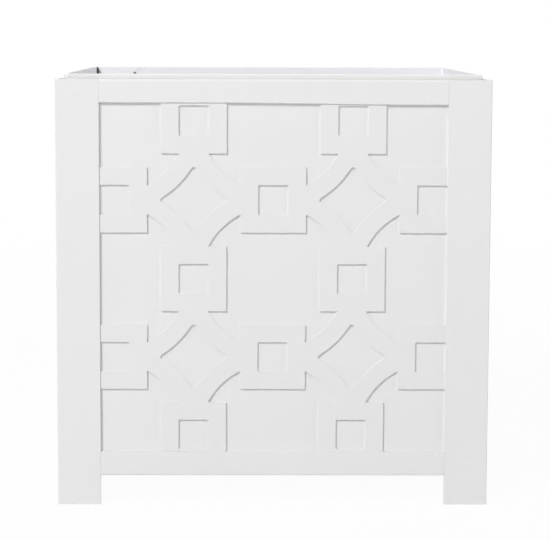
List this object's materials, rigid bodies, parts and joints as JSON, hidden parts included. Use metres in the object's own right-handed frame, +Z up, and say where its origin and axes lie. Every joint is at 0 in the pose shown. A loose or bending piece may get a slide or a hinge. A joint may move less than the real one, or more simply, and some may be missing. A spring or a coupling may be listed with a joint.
{
  "type": "versailles planter",
  "caption": "Square painted metal Versailles planter on corner legs, with ring and square fretwork panels and a lift-out liner box.",
  "frame": {"origin": "on the ground, at the middle of the planter's footprint", "axes": "+Z up, the front faces -Y, +X to the right seen from the front"},
  "size_m": [0.508, 0.508, 0.508],
  "materials": {
    "frame_paint": "satin white paint on steel angle",
    "panel_paint": "satin white paint on steel sheet",
    "fret_paint": "satin white paint on cut steel sheet",
    "liner_paint": "satin white paint on thin galvanised sheet",
    "crossbar_paint": "thin matt white paint on flat bar",
    "rivet_paint": "painted aluminium rivet"
  },
  "bodies": {
    "casing": {"leg_front_left": "frame_paint", "leg_front_right": "frame_paint", "leg_back_right": "frame_paint", "leg_back_left": "frame_paint", "top_rail_front": "frame_paint", "top_rail_right": "frame_paint", "top_rail_back": "frame_paint", "top_rail_left": "frame_paint", "bottom_rail_front": "frame_paint", "bottom_rail_right": "frame_paint", "bottom_rail_back": "frame_paint", "bottom_rail_left": "frame_paint", "panel_front": "panel_paint", "panel_right": "panel_paint", "panel_back": "panel_paint", "panel_left": "panel_paint", "fret_front": "fret_paint", "fret_right": "fret_paint", "fret_back": "fret_paint", "fret_left": "fret_paint", "crossbar_1": "crossbar_paint", "crossbar_2": "crossbar_paint", "crossbar_3": "crossbar_paint"},
    "liner": {"liner_sheet_front_left": "liner_paint", "liner_sheet_back_right": "liner_paint", "liner_floor_tray": "liner_paint", "seam_rivet_back_1": "rivet_paint", "seam_rivet_back_2": "rivet_paint", "seam_rivet_back_3": "rivet_paint", "seam_rivet_back_4": "rivet_paint", "seam_rivet_front_1": "rivet_paint", "seam_rivet_front_2": "rivet_paint", "seam_rivet_front_3": "rivet_paint", "seam_rivet_front_4": "rivet_paint"}
  },
  "joints": [
    {"name": "liner_lift", "type": "slide", "parent": "casing", "child": "liner", "axis": [0, 0, 1], "range_m": [0, 0.5]}
  ]
}
